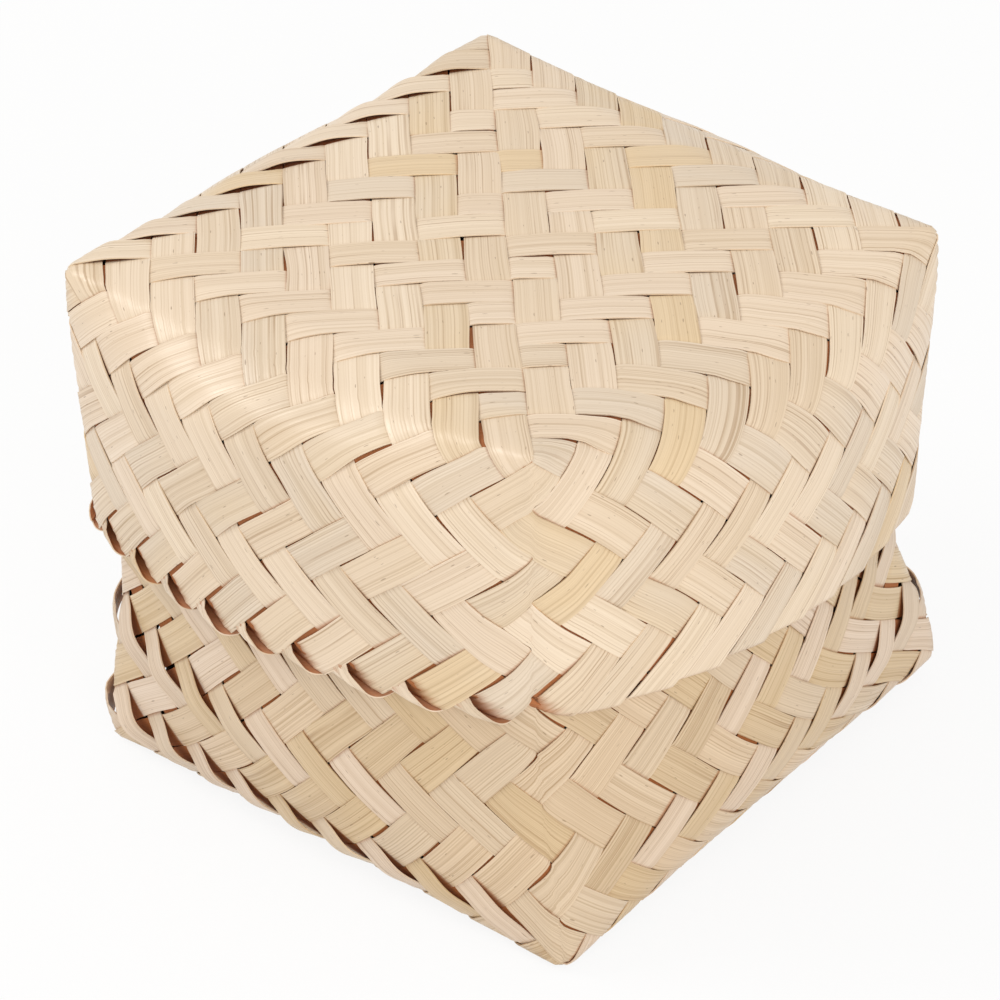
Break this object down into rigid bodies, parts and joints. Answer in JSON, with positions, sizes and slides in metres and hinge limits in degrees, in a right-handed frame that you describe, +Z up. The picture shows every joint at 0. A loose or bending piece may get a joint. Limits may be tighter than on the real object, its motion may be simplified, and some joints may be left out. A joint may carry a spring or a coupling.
{
  "type": "plaited bamboo box",
  "caption": "Square lidded box plaited on the bias from flat bamboo strips, with walls that swell outward and a deep lid that slides down over the walls of a taller base.",
  "frame": {"origin": "on the plane the base stands on, under the middle of the base", "axes": "+Z up along the lid's way off; X and Y square to the walls. The picture looks at the corner between the -Y wall and the +X wall."},
  "size_m": [0.1312, 0.1332, 0.1031],
  "materials": {
    "lid_warp": "satin",
    "lid_weft": "satin",
    "base_warp": "satin",
    "base_weft": "satin"
  },
  "bodies": {
    "base": {"base_warp_01": "base_warp", "base_warp_02": "base_warp", "base_warp_03": "base_warp", "base_warp_04": "base_warp", "base_warp_05": "base_warp", "base_warp_06": "base_warp", "base_warp_07": "base_warp", "base_warp_08": "base_warp", "base_warp_09": "base_warp", "base_warp_10": "base_warp", "base_weft_01": "base_weft", "base_weft_02": "base_weft", "base_weft_03": "base_weft", "base_weft_04": "base_weft", "base_weft_05": "base_weft", "base_weft_06": "base_weft", "base_weft_07": "base_weft", "base_weft_08": "base_weft", "base_weft_09": "base_weft", "base_weft_10": "base_weft"},
    "lid": {"lid_warp_01": "lid_warp", "lid_warp_02": "lid_warp", "lid_warp_03": "lid_warp", "lid_warp_04": "lid_warp", "lid_warp_05": "lid_warp", "lid_warp_06": "lid_warp", "lid_warp_07": "lid_warp", "lid_warp_08": "lid_warp", "lid_warp_09": "lid_warp", "lid_warp_10": "lid_warp", "lid_weft_01": "lid_weft", "lid_weft_02": "lid_weft", "lid_weft_03": "lid_weft", "lid_weft_04": "lid_weft", "lid_weft_05": "lid_weft", "lid_weft_06": "lid_weft", "lid_weft_07": "lid_weft", "lid_weft_08": "lid_weft", "lid_weft_09": "lid_weft", "lid_weft_10": "lid_weft"}
  },
  "joints": [
    {"name": "lid_lift", "type": "slide", "parent": "base", "child": "lid", "axis": [0, 0, 1], "range_m": [0, 0.075]}
  ]
}
